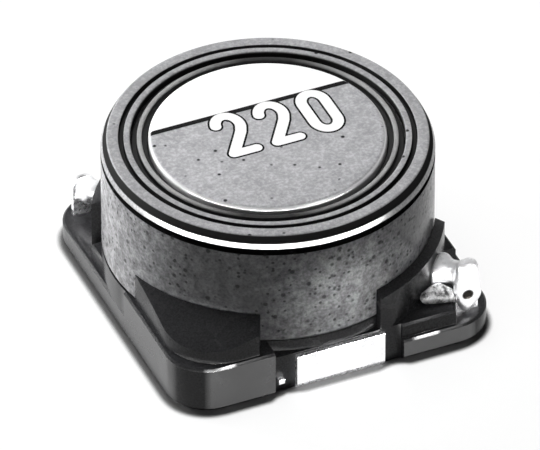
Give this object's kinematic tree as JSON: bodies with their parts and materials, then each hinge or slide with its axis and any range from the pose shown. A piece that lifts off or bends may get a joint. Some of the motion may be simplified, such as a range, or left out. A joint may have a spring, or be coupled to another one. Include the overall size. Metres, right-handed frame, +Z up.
{
  "type": "shielded surface-mount power inductor",
  "caption": "Low square inductor for a circuit board: a wound drum core inside a ring-shaped ferrite shield, on a moulded base with solder pads.",
  "frame": {"origin": "middle of the mounting plane, under the base", "axes": "+Z up out of the circuit board, -Y towards the front terminal, X along the width of the solder pads"},
  "size_m": [0.0126, 0.0126, 0.0068],
  "materials": {
    "black_resin": "moulded, slightly glossy",
    "ferrite": "sintered, finely speckled, satin",
    "enamelled_copper": "glossy enamel over copper",
    "grey_resin": "matt",
    "adhesive": "cured, matt",
    "tinned_strip": "bright tin plate",
    "solder": "bright solder",
    "cement": "grainy"
  },
  "bodies": {
    "root": {"base": "black_resin", "drum_core": "ferrite", "ring_core": "ferrite", "winding": "enamelled_copper", "spacer_ring": "grey_resin", "seat_adhesive": "adhesive", "front_terminal": "tinned_strip", "back_terminal": "tinned_strip", "start_lead": "enamelled_copper", "finish_lead": "enamelled_copper", "start_solder": "solder", "finish_solder": "solder", "start_cement": "cement", "finish_cement": "cement"}
  },
  "joints": []
}
